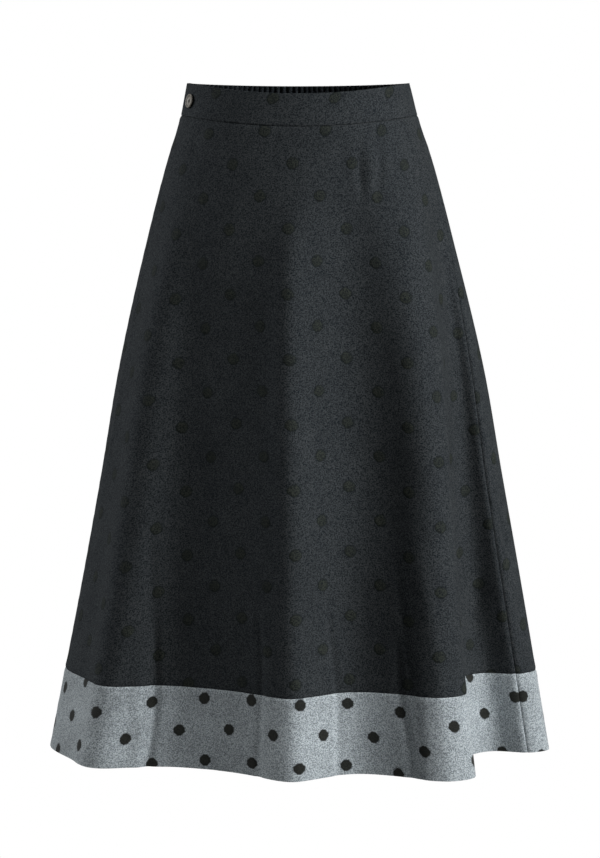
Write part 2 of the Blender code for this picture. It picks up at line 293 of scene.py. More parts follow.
HEM_HALVES = [section_value(index, HEM_DROP) for index in (1, 2, 3, 4)]


def fold_points(drop):
    """Where each fold line crosses the ring at this drop."""
    halves = [section_value(index, drop) for index in (1, 2, 3, 4)]
    down = min(max((drop - BAND_DROP) / (HEM_DROP - BAND_DROP), 0.0), 1.0)
    points = []
    for _, at_waist, at_hem, hem_x, hem_y, leaves, early in FOLDS:
        bearing = at_waist + (at_hem - at_waist) * (1 - (1 - down) ** early)
        grown = max((drop - leaves) / (HEM_DROP - leaves), 0.0) ** FOLD_GROWTH
        stand = np.array([hem_x, hem_y]) - section_point(at_hem, HEM_HALVES)
        points.append(section_point(bearing, halves) + stand * grown)
    return np.array(points)


def closed_curve(points, places):
    """A smooth closed curve through the points, read at places counted in points."""
    count = len(points)
    after = np.roll(points, -1, axis=0)
    step = np.linalg.norm(after - points, axis=1) ** CHORD_POWER
    matrix = np.zeros((count, count))
    here = np.arange(count)
    matrix[here, here - 1] += step[here - 1]
    matrix[here, here] += 2 * (step[here - 1] + step)
    matrix[here, (here + 1) % count] += step
    slope = (after - points) / step[:, None]
    bend = np.linalg.solve(matrix, 6 * (slope - np.roll(slope, 1, axis=0)))
    places = np.asarray(places, float) % count
    i = np.floor(places).astype(int) % count
    j = (i + 1) % count
    h = step[i][:, None]
    t = (places - np.floor(places))[:, None] * h
    r = h - t
    cubic = (bend[i] * r**3 + bend[j] * t**3) / (6 * h)
    return cubic + (points[i] / h - bend[i] * h / 6) * r + (points[j] / h - bend[j] * h / 6) * t


def ring(drop, places):
    """Points of the cloth's middle surface at this drop, with their outward directions."""
    knots = fold_points(drop)
    places = np.asarray(places, float)
    flat = closed_curve(knots, places)
    along = closed_curve(knots, places + DIRECTION_REACH) - closed_curve(knots, places - DIRECTION_REACH)
    along /= np.linalg.norm(along, axis=1)[:, None]
    out = np.column_stack([along[:, 1], -along[:, 0], np.zeros(len(flat))])
    down = drop / HEM_DROP
    front = FRONT_SINK_WAIST + (FRONT_SINK_HEM - FRONT_SINK_WAIST) * down
    y = flat[:, 1]
    front_sink = front * np.minimum((y / section_value(3, drop)) ** 2, SINK_MOST)
    back_sink = BACK_SINK_WAIST * (1 - down) * (y / section_value(4, drop)) ** 2
    heights = -drop - np.where(y < 0, front_sink, back_sink)
    return np.column_stack([flat, heights]), out


def runs_along(points):
    """Length along a row of points, from its first."""
    steps = np.linalg.norm(np.diff(points[:, :2], axis=0), axis=1)
    return np.concatenate([[0.0], np.cumsum(steps)])


def shares(count, total, finest=0.0006, fine=6):
    """Shares from 0 to 1, evenly spaced but finer near both ends."""
    steps = np.full(count, (total - 2 * fine * finest) / (count - 2 * fine))
    steps[:fine] = steps[-fine:] = finest
    return np.concatenate([[0.0], np.cumsum(steps)]) / total


FINE_PLACES = 2401


def places_of(first, last, wanted, drop):
    """Places whose shares of the way round, at this drop, are those wanted."""
    fine = np.linspace(first, last, FINE_PLACES)
    run = runs_along(ring(drop, fine)[0])
    return np.interp(wanted * run[-1], run, fine)


def gather_height(run, total, drop):
    """How far the gathered cloth stands out or in, at a run along the back waist."""
    ends = np.clip(np.minimum(run, total - run) / GATHER_END, 0.0, 1.0)
    below = max(drop - BAND_DROP, 0.0) / GATHER_FADE
    fade = max(1.0 - below, 0.0) ** GATHER_FADE_POWER
    slow, fast = GATHER_UNEVEN_RATES
    uneven = 1.0 - GATHER_UNEVEN + GATHER_UNEVEN * np.sin(run * slow + 1.3) * np.cos(run * fast)
    # The gathers lie closer in some places, and are shallower there
    turns = 2 * math.pi * GATHERS / total
    shift = sum(size * np.sin(run * rate + start) for size, rate, start in GATHER_DRIFT)
    pace = 1.0 + sum(size * rate * np.cos(run * rate + start) for size, rate, start in GATHER_DRIFT) / turns
    return GATHER_DEPTH * ends * fade * uneven / pace**2 * np.sin(turns * run + shift)


def creases(table, share, drop, total):
    """How far the creases lift the cloth along a row, by its shares of the row's width."""
    lift = np.zeros(len(share))
    for upper, lower, share_upper, share_lower, half_width, stand, fade in table:
        t = (drop - upper) / (lower - upper)
        fades_below = lower < HEM_DROP
        if t <= 0.0 or (fades_below and t >= 1.0):
            continue
        middle = share_upper + (share_lower - share_upper) * t
        middle += CREASE_WANDER * math.sin(CREASE_BENDS * t + CREASE_STARTS * share_upper)
        grown = min(t / fade, 1.0)
        if fades_below:
            grown = min(grown, (1.0 - t) / fade)
        lift += stand * soft_step(grown) * bell((share - middle) * total, half_width)
    return lift


def seam_dips(share, drop, total):
    """How far the cloth dips into the seams round the skirt and down its sides."""
    run = share * total
    lift = np.zeros(len(share))
    for seam, depth, half_width, swell in ROUND_SEAMS:
        away = abs(drop - seam)
        if away > SEAM_REACH:
            continue
        fast, slow, grouped = SEAM_PUCKER_RATES
        waves = np.sin(run * fast + 2.0 * np.sin(run * slow)) * np.sin(run * grouped + 0.7)
        pucker = 1.0 + SEAM_PUCKER * waves
        lift -= depth * bell(away, half_width) * pucker
        lift += swell * bell(away - SWELL_AWAY, SWELL_WIDTH) * pucker
    fast, slow = SIDE_PUCKER_RATES
    pucker = 1.0 + SIDE_PUCKER * math.sin(drop * fast) * math.sin(drop * slow)
    for away in (run, total - run):
        lift -= SIDE_DIP * bell(away, SIDE_DIP_WIDTH)
        lift += SIDE_SWELL * bell(away - SIDE_SWELL_AWAY, SIDE_SWELL_WIDTH) * pucker
    return lift


def cut_point(cut, share, drop):
    """Where a point lies on the flat cut, in metres across and down its weave."""
    inner, angle = cut
    radius = inner + (drop - BAND_DROP) * CLOTH_SLOPE
    across = radius * np.sin(angle * (share - 0.5))
    down = radius * np.cos(angle * (share - 0.5)) - inner
    lean, bow, tilt, dip, sway = HEM_GRAIN if drop > HEM_SEAM_DROP else PANEL_GRAIN
    below = down - GRAIN_MIDDLE
    return np.column_stack([across + lean * below + bow * below**2,
                            down + tilt * across + dip * across**2 + sway * across**3])


def front_row(drop, places):
    """A row of the front panel or its hem band, with its points on the cut."""
    points, out = ring(drop, places)
    run = runs_along(points)
    share = run / run[-1]
    lift = creases(FRONT_CREASES, share, drop, run[-1]) + seam_dips(share, drop, run[-1])
    return points + out * lift[:, None], cut_point(FRONT_CUT, share, drop)


def back_row(drop, places):
    """A row of the back panel or its hem band, with its points on the cut."""
    points, out = ring(drop, places)
    run = runs_along(points)
    share = run / run[-1]
    waist = np.interp(places, BACK_PLACES, BACK_SHARES) * BACK_WAIST
    lift = creases(BACK_CREASES, share, drop, run[-1]) + seam_dips(share, drop, run[-1])
    lift += gather_height(waist, BACK_WAIST, drop)
    return points + out * lift[:, None], cut_point(BACK_CUT, share, drop)


def band_edge(drop):
    """How far the seam at the waistband's lower edge pulls it in."""
    return -BAND_EDGE_DIP * bell(BAND_DROP - drop, BAND_EDGE_WIDTH)


def front_band_row(drop, places):
    """A row of the smooth front waistband, with its points on the cut."""
    points, out = ring(drop, places)
    run = runs_along(points)
    lift = band_edge(drop) - BAND_END_DIP * bell(np.minimum(run, run[-1] - run), BAND_END_WIDTH)
    along, down = BAND_RIPPLE_RATES
    lift += BAND_RIPPLE * np.sin(run * along + drop * down) * math.sin(math.pi * drop / BAND_DROP)
    return points + out * lift[:, None], np.column_stack([run, np.full(len(run), drop)])


def back_band_row(drop, places):
    """The gathered band, and its flat end, which steps in behind the front band."""
    points, out = ring(drop, places)
    run = runs_along(points)
    waist = np.interp(places, BACK_PLACES, BACK_SHARES, right=1.0) * BACK_WAIST
    past = places >= RIGHT_SEAM
    lift = np.where(past, 0.0, gather_height(waist, BACK_WAIST, drop))
    step = np.clip(1.0 - (BACK_WAIST - waist) / UNDERLAP_STEP, 0.0, 1.0)
    inward = (BAND_WALL + SEAM_GAP) * np.where(past, 1.0, soft_step(step))
    lift += np.where(past, 0.0, band_edge(drop) * (1 - step))
    cut = np.column_stack([run * ELASTIC_EASE, np.full(len(run), drop)])
    return points + out * (lift - inward)[:, None], cut


# How far along the back waist each place lies, for the gathers
BACK_PLACES = np.linspace(LEFT_SEAM, RIGHT_SEAM, FINE_PLACES)
BACK_WAIST_RUN = runs_along(ring(BAND_DROP, BACK_PLACES)[0])
BACK_WAIST = BACK_WAIST_RUN[-1]
BACK_SHARES = BACK_WAIST_RUN / BACK_WAIST


def drawn_in(points):
    """Draw a row's first and last point in by half a seam gap."""
    for end, inner in ((0, 1), (-1, -2)):
        inward = points[inner] - points[end]
        points[end] = points[end] + inward / np.linalg.norm(inward) * (SEAM_GAP / 2)
    return points


def add_cloth(name, drops, places, row_of, wall, outer, inner, edge_round=0.0):
    """A piece of cloth: a fine grid moved onto the rows that row_of gives, with a wall."""
    bm = bmesh.new()
    across, down = len(places) - 1, len(drops) - 1
    bmesh.ops.create_grid(bm, x_segments=across, y_segments=down, size=0.5)
    mesh = bpy.data.meshes.new(name)
    bm.to_mesh(mesh)
    bm.free()
    count = len(mesh.vertices)
    at = np.empty(count * 3)
    mesh.vertices.foreach_get("co", at)
    at = at.reshape(-1, 3)
    low, high = at.min(axis=0), at.max(axis=0)
    column = np.rint((at[:, 0] - low[0]) / (high[0] - low[0]) * across).astype(int)
    row = np.rint((high[1] - at[:, 1]) / (high[1] - low[1]) * down).astype(int)
    points = np.empty((down + 1, across + 1, 3))
    cut = np.empty((down + 1, across + 1, 2))
    for i, drop in enumerate(drops):
        points[i], cut[i] = row_of(drop, places)
        points[i] = drawn_in(points[i])
    mesh.vertices.foreach_set("co", points[row, column].ravel())
    corner = np.empty(len(mesh.loops), int)
    mesh.loops.foreach_get("vertex_index", corner)
    layer = mesh.uv_layers.new(name="cut")
    layer.data.foreach_set("uv", cut[row, column][corner].ravel())
    mesh.polygons.foreach_set("use_smooth", np.ones(len(mesh.polygons), bool))
    mesh.update()
    obj = bpy.data.objects.new(name, mesh)
    bpy.context.scene.collection.objects.link(obj)
    for material in (outer, inner):
        mesh.materials.append(material)
    shell = obj.modifiers.new("Wall", "SOLIDIFY")
    shell.thickness = wall
    shell.offset = 0.0
    shell.material_offset = 1
    shell.material_offset_rim = 0
    if edge_round:
        edge = obj.modifiers.new("Folded edge", "BEVEL")
        edge.limit_method = "ANGLE"
        edge.angle_limit = math.radians(75)
        edge.width = edge_round
        edge.segments = 3
        edge.profile = 0.5
        edge.use_clamp_overlap = True
    return obj


def new_material(name):
    material = bpy.data.materials.new(name)
    material.use_nodes = True
    tree = material.node_tree
    return material, tree, tree.nodes["Principled BSDF"]


def maths(tree, operation, first, second=None, third=None, clamp=False):
    """One Math node; its inputs may be numbers or sockets."""
    node = tree.nodes.new("ShaderNodeMath")
    node.operation = operation
    node.use_clamp = clamp
    for socket, value in zip(node.inputs, (first, second, third)):
        if value is None:
            continue
        if isinstance(value, (int, float)):
            socket.default_value = value
        else:
            tree.links.new(value, socket)
    return node.outputs[0]


def noise(tree, vector, scale, detail=2.0, roughness=0.5, stretch=None):
    if stretch:
        mapping = tree.nodes.new("ShaderNodeMapping")
        mapping.inputs["Scale"].default_value = stretch
        tree.links.new(vector, mapping.inputs["Vector"])
        vector = mapping.outputs["Vector"]
    node = tree.nodes.new("ShaderNodeTexNoise")
    node.inputs["Scale"].default_value = scale
    node.inputs["Detail"].default_value = detail
    node.inputs["Roughness"].default_value = roughness
    tree.links.new(vector, node.inputs["Vector"])
    return node.outputs["Fac"]


def mixed(tree, amount, first, second):
    """A colour mix; the colours may be tuples or sockets."""
    node = tree.nodes.new("ShaderNodeMix")
    node.data_type = "RGBA"
    tree.links.new(amount, node.inputs["Factor"])
    for socket, value in ((node.inputs[6], first), (node.inputs[7], second)):
        if isinstance(value, tuple):
            socket.default_value = (*value, 1.0)
        else:
            tree.links.new(value, socket)
    return node.outputs[2]


def smoothed(tree, value, low, high):
    """0 to 1 as the value goes from low to high."""
    node = tree.nodes.new("ShaderNodeMapRange")
    node.interpolation_type = "SMOOTHSTEP"
    tree.links.new(value, node.inputs["Value"])
    node.inputs["From Min"].default_value = low
    node.inputs["From Max"].default_value = high
    return node.outputs["Result"]


def add_relief(tree, shader, height, strength, distance):
    """Fine relief from a height, on the shader's normal."""
    bumps = tree.nodes.new("ShaderNodeBump")
    bumps.inputs["Strength"].default_value = strength
    bumps.inputs["Distance"].default_value = distance
    tree.links.new(height, bumps.inputs["Height"])
    tree.links.new(bumps.outputs["Normal"], shader.inputs["Normal"])


def floats(*names):
    return [(name, "NodeSocketFloat") for name in names]


def start_group(name, inputs, outputs):
    group = bpy.data.node_groups.new(name, "ShaderNodeTree")
    for socket, kind in inputs:
        group.interface.new_socket(name=socket, in_out="INPUT", socket_type=kind)
    for socket, kind in outputs:
        group.interface.new_socket(name=socket, in_out="OUTPUT", socket_type=kind)
    into = group.nodes.new("NodeGroupInput")
    outof = group.nodes.new("NodeGroupOutput")
    return group, into.outputs, outof.inputs


def use_group(tree, group, **values):
    node = tree.nodes.new("ShaderNodeGroup")
    node.node_tree = group
    for name, value in values.items():
        socket = node.inputs[name.replace("_", " ")]
        if isinstance(value, (int, float)):
            socket.default_value = value
        else:
            tree.links.new(value, socket)
    return node.outputs


# The dots' outline: how far its corners are cut, its fine and broad unevenness, and how soft it is
DOT_CORNER = 0.735
DOT_FINE_SCALE = 900.0
DOT_BROAD_SCALE = 150.0
DOT_BROAD = 0.0018
DOT_SOFT = 0.00025
# How quickly a dot's rim fades to both sides, and where its dome starts and ends inside the outline
DOT_RIM_FADE = 850.0
DOT_DOME = (-0.0004, 0.0026)


def make_dots_group():
    """Woven dots in staggered rows: whether a point is in a dot, the dot's rim and its dome."""
    group, given, result = start_group(
        "woven_dots",
        [("Cut", "NodeSocketVector"), *floats("Step X", "Step Y", "Start X", "Start Y", "Radius", "Ragged")],
        floats("Dot", "Rim", "Dome"),
    )
    split = group.nodes.new("ShaderNodeSeparateXYZ")
    group.links.new(given["Cut"], split.inputs[0])
    cut_x, cut_y = split.outputs[0], split.outputs[1]
    directions = (
        (cut_x, given["Step X"], given["Start X"]),
        (cut_y, given["Step Y"], given["Start Y"]),
    )
    near = []
    for offset in (0.0, 1.0):
        away = []
        for cut, step, start in directions:
            place = maths(group, "ADD", maths(group, "DIVIDE", cut, step), start)
            half = maths(group, "MULTIPLY_ADD", place, 0.5, 0.5 * offset + 0.5)
            inside = maths(group, "ABSOLUTE", maths(group, "SUBTRACT", maths(group, "FRACT", half), 0.5))
            away.append(maths(group, "MULTIPLY", inside, maths(group, "MULTIPLY", step, 2.0)))
        wide = maths(group, "MAXIMUM", away[0], away[1])
        slant = maths(group, "MULTIPLY", maths(group, "ADD", away[0], away[1]), DOT_CORNER)
        near.append(maths(group, "MAXIMUM", wide, slant))
    reach = maths(group, "MINIMUM", near[0], near[1])
    fine = noise(group, given["Cut"], DOT_FINE_SCALE, 2.0, 0.6)
    broad = noise(group, given["Cut"], DOT_BROAD_SCALE, 1.0, 0.5)
    ragged = maths(group, "MULTIPLY", maths(group, "SUBTRACT", fine, 0.5), given["Ragged"])
    ragged = maths(group, "MULTIPLY_ADD", maths(group, "SUBTRACT", broad, 0.5), DOT_BROAD, ragged)
    depth = maths(group, "SUBTRACT", given["Radius"], maths(group, "ADD", reach, ragged))
    group.links.new(smoothed(group, depth, -DOT_SOFT, DOT_SOFT), result["Dot"])
    fading = maths(group, "MULTIPLY", maths(group, "ABSOLUTE", depth), DOT_RIM_FADE)
    group.links.new(maths(group, "SUBTRACT", 1.0, fading, clamp=True), result["Rim"])
    group.links.new(smoothed(group, depth, *DOT_DOME), result["Dome"])
    return group


def threads_at(group, cut, per_metre):
    """A random shade for each crossing of the threads, a cell of so many to the metre."""
    cells = group.nodes.new("ShaderNodeVectorMath")
    cells.operation = "MULTIPLY"
    cells.inputs[1].default_value = (*per_metre, 1.0)
    group.links.new(cut, cells.inputs[0])
    whole = group.nodes.new("ShaderNodeVectorMath")
    whole.operation = "FLOOR"
    group.links.new(cells.outputs[0], whole.inputs[0])
    shade = group.nodes.new("ShaderNodeTexWhiteNoise")
    shade.noise_dimensions = "2D"
    group.links.new(whole.outputs[0], shade.inputs["Vector"])
    return shade.outputs["Value"]


# The weave: cells of its warp and weft threads to the metre, the scale of its grain,
# its twill lines' spacing and lean, and where light flecks begin and are full
WARP_CELLS = (1650.0, 620.0)
WEFT_CELLS = (640.0, 1500.0)
WEAVE_GRAIN = 760.0
TWILL_SPACING = 0.0011
TWILL_LEAN = 0.75
FLECKS = (1.06, 1.70)
CLOUD_SCALE = 22.0
# How much the grain, the threads and the twill lines count in the flecks, and the lines in the height
GRAIN_SHARE = 1.9
THREAD_SHARE = 0.42
TWILL_SHARE = 0.05
TWILL_HEIGHT = 0.25


def make_weave_group():
    """Heathered twill: light threads among dark ones, the weave's height and a soft cloudiness."""
    group, given, result = start_group(
        "heathered_twill",
        [("Cut", "NodeSocketVector"), *floats("Thread")],
        floats("Speck", "Height", "Cloud"),
    )
    warp = threads_at(group, given["Cut"], WARP_CELLS)
    weft = threads_at(group, given["Cut"], WEFT_CELLS)
    grain = noise(group, given["Cut"], WEAVE_GRAIN, 2.0, 0.8)
    split = group.nodes.new("ShaderNodeSeparateXYZ")
    group.links.new(given["Cut"], split.inputs[0])
    slant = maths(group, "ADD", maths(group, "MULTIPLY", split.outputs[0], TWILL_LEAN), split.outputs[1])
    turn = maths(group, "DIVIDE", maths(group, "MULTIPLY", slant, 2 * math.pi), given["Thread"])
    twill = maths(group, "SINE", turn)
    threads = maths(group, "MULTIPLY", maths(group, "ADD", warp, weft), THREAD_SHARE)
    mingled = maths(group, "MULTIPLY_ADD", grain, GRAIN_SHARE, threads)
    mingled = maths(group, "MULTIPLY_ADD", twill, TWILL_SHARE, mingled)
    group.links.new(smoothed(group, mingled, *FLECKS), result["Speck"])
    group.links.new(maths(group, "MULTIPLY_ADD", twill, TWILL_HEIGHT, grain), result["Height"])
    group.links.new(noise(group, given["Cut"], CLOUD_SCALE, 3.0, 0.6), result["Cloud"])
    return group


DOTS = make_dots_group()
WEAVE = make_weave_group()
# Half steps of the dots across and along the cut, their start counted in half steps, radius and ragged edge
FACE_DOTS = dict(Step_X=0.0342, Step_Y=0.0373, Start_X=0.900, Start_Y=1.8665, Radius=0.0066, Ragged=0.0016)
BACK_DOTS = dict(Step_X=0.0342, Step_Y=0.0373, Start_X=0.400, Start_Y=1.8665, Radius=0.0066, Ragged=0.0016)
BAND_DOTS = dict(Step_X=0.0349, Step_Y=0.0373, Start_X=-0.175, Start_Y=-0.161, Radius=0.0066, Ragged=0.0016)
HEM_DOTS = dict(Step_X=0.0307, Step_Y=0.0366, Start_X=-1.268, Start_Y=0.881, Radius=0.0063, Ragged=0.0016)

NAVY = (0.0057, 0.0060, 0.0057)
NAVY_FLECK = (0.0436, 0.0468, 0.0466)
OLIVE = (0.0054, 0.0057, 0.0042)
OLIVE_FLECK = (0.0315, 0.0338, 0.0238)
# The dots' rims: partly their own dark outline, partly painted shade in the groove round them
OLIVE_RIM_AND_SHADE = (0.0070, 0.0076, 0.0048)
PALE = (0.140, 0.162, 0.175)
PALE_FLECK = (0.470, 0.520, 0.545)
BLACK = (0.0050, 0.0053, 0.0037)
BLACK_FLECK = (0.0160, 0.0168, 0.0115)
BLACK_RIM_AND_SHADE = (0.0045, 0.0048, 0.0034)
# Painted shade: a darker cloth for the inside of the elastic waistband, which lies in shadow
SHADED = (0.0030, 0.0032, 0.0031)
SHADED_FLECK = (0.0200, 0.0220, 0.0230)
# Colours of each cloth: its ground and flecks, then its dots, their flecks and their rims. The rims are
# darker partly as the dots' own outline and partly as painted shade in the sunk groove round them.
# The inside of the elastic waistband is painted darker and without dots: painted shade where the band's
# inside lies in shadow
DARK_SIDE = (NAVY, NAVY_FLECK, OLIVE, OLIVE_FLECK, OLIVE_RIM_AND_SHADE)
PALE_SIDE = (PALE, PALE_FLECK, BLACK, BLACK_FLECK, BLACK_RIM_AND_SHADE)
PAINTED_SHADE_SIDE = (SHADED, SHADED_FLECK, SHADED, SHADED_FLECK, SHADED)
# Roughness, gloss, sheen and how far the dots are domed
DARK_FINISH = (0.85, 0.22, 0.0, 2.2)
PALE_FINISH = (0.90, 0.08, 0.18, 0.5)
PAINTED_SHADE_FINISH = (0.85, 0.14, 0.0, 0.5)
BLUE_SHINE = (0.47, 0.70, 1.0, 1.0)
# How strongly the dots' rims are coloured darker (their own outline together with painted shade in the
# groove) and sunk, and how high the weave stands beside them
RIM_AND_SHADE_SHOWS = 0.80
RIM_SINKS = -0.5
WEAVE_RISES = 0.6
# Strength and depth of the cloth's relief
CLOTH_RELIEF = (0.6, 0.0003)
# The cloudiness changes the cloth's lightness by so much, from so much
CLOUD_GAIN = 0.6
CLOUD_START = 0.7
FLECK_SMOOTHS = -0.06
SHEEN_ROUGHNESS = 0.6


def cloth_material(name, colours, dots, finish):
    """Woven cloth: a ground with lighter flecks, and domed dots with a dark rim, partly their own outline
    and partly painted shade in its sunk groove.
    """
    ground, fleck, dot, dot_fleck, dot_rim_and_shade = colours
    rough, gloss, sheen, dome = finish
    material, tree, shader = new_material(name)
    cut = tree.nodes.new("ShaderNodeUVMap")
    cut.uv_map = "cut"
    weave = use_group(tree, WEAVE, Cut=cut.outputs[0], Thread=TWILL_SPACING)
    spots = use_group(tree, DOTS, Cut=cut.outputs[0], **dots)
    speck = weave["Speck"]
    cloth = mixed(tree, speck, ground, fleck)
    spot = mixed(tree, speck, dot, dot_fleck)
    colour = mixed(tree, spots["Dot"], cloth, spot)
    # The dots' rims darkened: their own outline and painted shade in the groove
    colour = mixed(tree, maths(tree, "MULTIPLY", spots["Rim"], RIM_AND_SHADE_SHOWS), colour, dot_rim_and_shade)
    cloud = tree.nodes.new("ShaderNodeHueSaturation")
    tree.links.new(colour, cloud.inputs["Color"])
    lightness = maths(tree, "MULTIPLY_ADD", weave["Cloud"], CLOUD_GAIN, CLOUD_START)
    tree.links.new(lightness, cloud.inputs["Value"])
    tree.links.new(cloud.outputs["Color"], shader.inputs["Base Color"])
    tree.links.new(maths(tree, "MULTIPLY_ADD", speck, FLECK_SMOOTHS, rough), shader.inputs["Roughness"])
    shader.inputs["Specular IOR Level"].default_value = gloss
    shader.inputs["Specular Tint"].default_value = BLUE_SHINE
    shader.inputs["Sheen Weight"].default_value = sheen
    shader.inputs["Sheen Roughness"].default_value = SHEEN_ROUGHNESS
    relief = maths(tree, "MULTIPLY", weave["Height"], WEAVE_RISES)
    relief = maths(tree, "MULTIPLY_ADD", spots["Rim"], RIM_SINKS, relief)
    relief = maths(tree, "MULTIPLY_ADD", spots["Dome"], dome, relief)
    add_relief(tree, shader, relief, *CLOTH_RELIEF)
    return material


dark_face = cloth_material("dark_face", DARK_SIDE, FACE_DOTS, DARK_FINISH)
dark_back = cloth_material("dark_back", DARK_SIDE, BACK_DOTS, DARK_FINISH)
dark_band = cloth_material("dark_band", DARK_SIDE, BAND_DOTS, DARK_FINISH)
# The inside of the back waistband, painted darker as painted shade
painted_shade_inside = cloth_material("painted_shade_inside", PAINTED_SHADE_SIDE, BAND_DOTS, PAINTED_SHADE_FINISH)
pale_face = cloth_material("pale_face", PALE_SIDE, HEM_DOTS, PALE_FINISH)
pale_inside = cloth_material("pale_inside", PALE_SIDE, FACE_DOTS, PALE_FINISH)

# Rows of each grid, finer towards a piece's edges
PANEL_ROWS = 112
HEM_ROWS = 34
BAND_ROWS = 26
PANEL_LENGTH = HEM_SEAM_DROP - BAND_DROP - SEAM_GAP
HEM_LENGTH = HEM_DROP - HEM_SEAM_DROP - SEAM_GAP / 2
BAND_LENGTH = BAND_DROP - SEAM_GAP / 2
PANEL_DROPS = BAND_DROP + SEAM_GAP / 2 + shares(PANEL_ROWS, PANEL_LENGTH) * PANEL_LENGTH
HEM_DROPS = HEM_SEAM_DROP + SEAM_GAP / 2 + shares(HEM_ROWS, HEM_LENGTH, 0.0007, 5) * HEM_LENGTH
BAND_DROPS = shares(BAND_ROWS, BAND_LENGTH, 0.0006, 4) * BAND_LENGTH

# Columns of each grid: even steps at one drop, where the piece is about so wide
PANEL_MIDDLE = 0.45
HEM_MIDDLE = 0.73
FRONT_WIDTH = 0.58
FRONT_HEM_WIDTH = 0.77
BACK_WAIST_WIDTH = 0.374
BACK_HEM_WIDTH = 0.82
FRONT_COLUMNS = 400
HEM_COLUMNS = 380
COLUMNS_PER_GATHER = 8
front_places = places_of(0.0, LEFT_SEAM, shares(FRONT_COLUMNS, FRONT_WIDTH), PANEL_MIDDLE)
hem_places = places_of(0.0, LEFT_SEAM, shares(HEM_COLUMNS, FRONT_HEM_WIDTH), HEM_MIDDLE)
back_columns = shares(GATHERS * COLUMNS_PER_GATHER, BACK_WAIST_WIDTH, 0.0005, 4)
back_places = places_of(LEFT_SEAM, RIGHT_SEAM, back_columns, BAND_DROP)
hem_back_places = places_of(LEFT_SEAM, RIGHT_SEAM, shares(HEM_COLUMNS, BACK_HEM_WIDTH), HEM_MIDDLE)

# The back waistband's flat end goes on behind the front one, past the right seam but short of this fold
LAP_BEFORE = 6.0
LAP_COLUMNS = 40
lap_search = np.linspace(0.0, LAP_BEFORE, FINE_PLACES)
lap_end = np.interp(UNDERLAP, runs_along(ring(BAND_DROP, lap_search)[0]), lap_search)
lap_places = RIGHT_SEAM + np.linspace(0.0, lap_end, LAP_COLUMNS)[1:]
back_band_places = np.concatenate([back_places, lap_places])

front_panel = add_cloth(
    "front_panel_cloth", PANEL_DROPS, front_places, front_row, PANEL_WALL, dark_face, pale_inside)
back_panel = add_cloth(
    "back_panel_cloth", PANEL_DROPS, back_places, back_row, PANEL_WALL, dark_back, pale_inside)
hem_front = add_cloth(
    "hem_band_front_cloth", HEM_DROPS, hem_places, front_row,
    HEM_WALL, pale_face, dark_face, HEM_EDGE_ROUND)
hem_back = add_cloth(
    "hem_band_back_cloth", HEM_DROPS, hem_back_places, back_row,
    HEM_WALL, pale_face, dark_back, HEM_EDGE_ROUND)
band_front = add_cloth(
    "waistband_front_cloth", BAND_DROPS, front_places[::2], front_band_row,
    BAND_WALL, dark_band, dark_band, BAND_EDGE_ROUND)
band_back = add_cloth(
    "waistband_back_cloth", BAND_DROPS, back_band_places, back_band_row,
    BAND_WALL, dark_band, painted_shade_inside, BAND_EDGE_ROUND)


def button_frame():
    """The button's place on the front band and its outward direction."""
    places = np.linspace(0.0, 4.0, 801)
    points, out = ring(BUTTON_DROP, places)
    i = int(np.argmin(abs(points[:, 1] - BUTTON_Y)))
    above = ring(BUTTON_DROP - BUTTON_LEAN_REACH, places[i:i + 1])[0][0]
    below = ring(BUTTON_DROP + BUTTON_LEAN_REACH, places[i:i + 1])[0][0]
    down = Vector(below - above).normalized()
    side = Vector((-out[i][1], out[i][0], 0.0)).normalized()
    face = side.cross(down)
    if face.dot(Vector(out[i])) < 0:
        face = -face
    side = face.cross(down).normalized()
    foot = Vector(points[i]) + face * (BAND_WALL / 2 + SEAM_GAP)
    turn = Matrix((side, -down, face)).transposed().to_4x4()
    return Matrix.Translation(foot) @ turn


def finish_piece(name, bm, material, smooth=True):
    bmesh.ops.recalc_face_normals(bm, faces=bm.faces)
    mesh = bpy.data.meshes.new(name)
    bm.to_mesh(mesh)
    bm.free()
    mesh.polygons.foreach_set("use_smooth", np.full(len(mesh.polygons), smooth))
    mesh.materials.append(material)
    obj = bpy.data.objects.new(name, mesh)
    bpy.context.scene.collection.objects.link(obj)
    return obj


HORN_DARK = (0.112, 0.100, 0.080)
HORN_LIGHT = (0.300, 0.280, 0.238)
HORN_GROOVE = (0.050, 0.042, 0.036)
HORN_GRAIN = 420.0
HORN_STREAKS = (900.0, 240.0, 1.0)
HORN_MOTTLE = (0.35, 0.65)
GROOVE_FADE = 1600.0


def horn_material():
    """Taupe horn: a mottled body with a darker ring where the rim and the dish meet."""
    material, tree, shader = new_material("button_horn")
    place = tree.nodes.new("ShaderNodeUVMap")
    place.uv_map = "face"
    grain = noise(tree, place.outputs[0], HORN_GRAIN, 4.0, 0.6)
    streak = noise(tree, place.outputs[0], 1.0, 3.0, 0.6, HORN_STREAKS)
    mottle = maths(tree, "MULTIPLY_ADD", streak, 0.5, maths(tree, "MULTIPLY", grain, 0.5))
    body = mixed(tree, smoothed(tree, mottle, *HORN_MOTTLE), HORN_DARK, HORN_LIGHT)
    split = tree.nodes.new("ShaderNodeSeparateXYZ")
    tree.links.new(place.outputs[0], split.inputs[0])
    squared = maths(tree, "ADD", maths(tree, "MULTIPLY", split.outputs[0], split.outputs[0]),
                    maths(tree, "MULTIPLY", split.outputs[1], split.outputs[1]))
    out = maths(tree, "SQRT", squared)
    ring_away = maths(tree, "ABSOLUTE", maths(tree, "SUBTRACT", out, BUTTON_RADIUS * BUTTON_GROOVE))
    groove = maths(tree, "SUBTRACT", 1.0, maths(tree, "MULTIPLY", ring_away, GROOVE_FADE), clamp=True)
    colour = mixed(tree, maths(tree, "MULTIPLY", groove, 0.65), body, HORN_GROOVE)
    tree.links.new(colour, shader.inputs["Base Color"])
    tree.links.new(maths(tree, "MULTIPLY_ADD", grain, 0.25, 0.28), shader.inputs["Roughness"])
    add_relief(tree, shader, grain, 0.25, 0.0002)
    return material


THREAD_FIBRES = 2600.0


